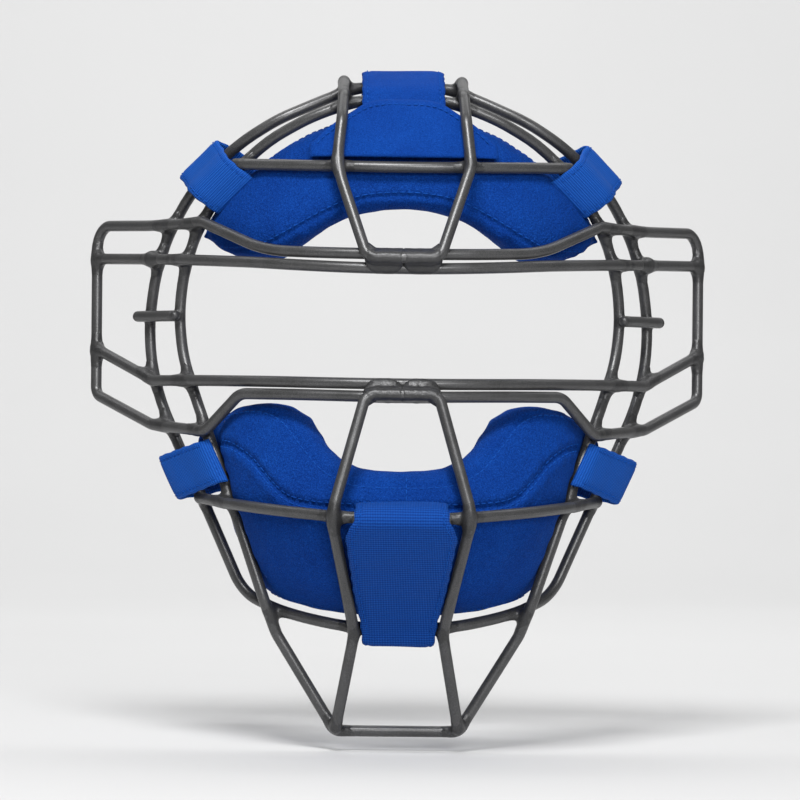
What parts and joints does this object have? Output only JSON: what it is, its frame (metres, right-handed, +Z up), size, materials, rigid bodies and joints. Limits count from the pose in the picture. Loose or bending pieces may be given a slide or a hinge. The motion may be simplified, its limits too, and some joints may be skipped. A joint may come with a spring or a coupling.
{
  "type": "catcher's mask",
  "caption": "Welded tubular-wire catcher's mask with flared ear guards, an open eye port, and padded forehead and chin rests held on by wrap-around hook-and-loop straps.",
  "frame": {"origin": "centre of the face seat: on the mirror plane, level with the lower edge of the eye port, in the upright plane through the two side runs of the rear hoop", "axes": "-Y out of the front of the mask, +Y towards the wearer's head, +Z up towards the crown, +X towards the wearer's left"},
  "size_m": [0.273, 0.1473, 0.2832],
  "materials": {
    "cage_metal": "satin graphite powder coat",
    "weld_metal": "satin graphite powder coat over the weld fillets",
    "pad_cloth": "matte brushed knit",
    "strap_cloth": "fine woven mesh, slight sheen",
    "lining": "soft brushed lining",
    "foam": "matte foam",
    "hook_tape": "hook tape",
    "loop_tape": "napped loop tape"
  },
  "bodies": {
    "cage": {"brow_bar": "cage_metal", "center_bar_welds": "weld_metal", "chin_front_panel": "strap_cloth", "chin_loop_patch": "loop_tape", "chin_pad_cover": "pad_cloth", "chin_pad_foam": "foam", "chin_pad_lining": "lining", "chin_welds": "weld_metal", "crown_welds": "weld_metal", "ear_guard_welds": "weld_metal", "eye_bar_welds": "weld_metal", "forehead_front_panel": "pad_cloth", "forehead_pad_cover": "pad_cloth", "forehead_pad_foam": "foam", "forehead_pad_lining": "lining", "front_hoop": "cage_metal", "left_ear_guard": "cage_metal", "left_ear_stub": "cage_metal", "left_lower_strap": "strap_cloth", "left_strap_post": "cage_metal", "left_upper_strap": "strap_cloth", "lower_center_bar": "cage_metal", "lower_eye_bar": "cage_metal", "lower_loop_patches": "loop_tape", "rear_hoop": "cage_metal", "right_ear_guard": "cage_metal", "right_ear_stub": "cage_metal", "right_lower_strap": "strap_cloth", "right_strap_post": "cage_metal", "right_upper_strap": "strap_cloth", "strap_post_welds": "weld_metal", "top_loop_patch": "loop_tape", "top_strap": "strap_cloth", "upper_center_bar": "cage_metal", "upper_chin_bar": "cage_metal", "upper_eye_bar": "cage_metal", "upper_loop_patches": "loop_tape"},
    "left_upper_tail": {"left_upper_strap_tail": "strap_cloth", "left_upper_hook_patch": "hook_tape"},
    "right_upper_tail": {"right_upper_strap_tail": "strap_cloth", "right_upper_hook_patch": "hook_tape"},
    "left_lower_tail": {"left_lower_strap_tail": "strap_cloth", "left_lower_hook_patch": "hook_tape"},
    "right_lower_tail": {"right_lower_strap_tail": "strap_cloth", "right_lower_hook_patch": "hook_tape"},
    "top_tail": {"top_strap_tail": "strap_cloth", "top_hook_patch": "hook_tape"},
    "chin_tail": {"chin_strap_tail": "strap_cloth", "chin_hook_patch": "hook_tape"}
  },
  "joints": [
    {"name": "left_upper_peel", "type": "hinge", "parent": "cage", "child": "left_upper_tail", "pos_m": [0.08259, -0.01826, 0.10042], "axis": [0.6552, 0.4115, -0.6335], "range_deg": [0, 115]},
    {"name": "left_lower_peel", "type": "hinge", "parent": "cage", "child": "left_lower_tail", "pos_m": [0.09012, -0.02417, -0.03309], "axis": [-0.4035, -0.3654, -0.8388], "range_deg": [0, 115]},
    {"name": "right_upper_peel", "type": "hinge", "parent": "cage", "child": "right_upper_tail", "pos_m": [-0.08259, -0.01826, 0.10042], "axis": [0.6552, -0.4115, 0.6335], "range_deg": [0, 115]},
    {"name": "right_lower_peel", "type": "hinge", "parent": "cage", "child": "right_lower_tail", "pos_m": [-0.09012, -0.02417, -0.03309], "axis": [-0.4035, 0.3654, 0.8388], "range_deg": [0, 115]},
    {"name": "top_peel", "type": "hinge", "parent": "cage", "child": "top_tail", "pos_m": [0, -0.0182, 0.1349], "axis": [1, 0, 0], "range_deg": [0, 130]},
    {"name": "chin_peel", "type": "hinge", "parent": "cage", "child": "chin_tail", "pos_m": [0, -0.0661, -0.0994], "axis": [-1, 0, 0], "range_deg": [0, 105]}
  ]
}
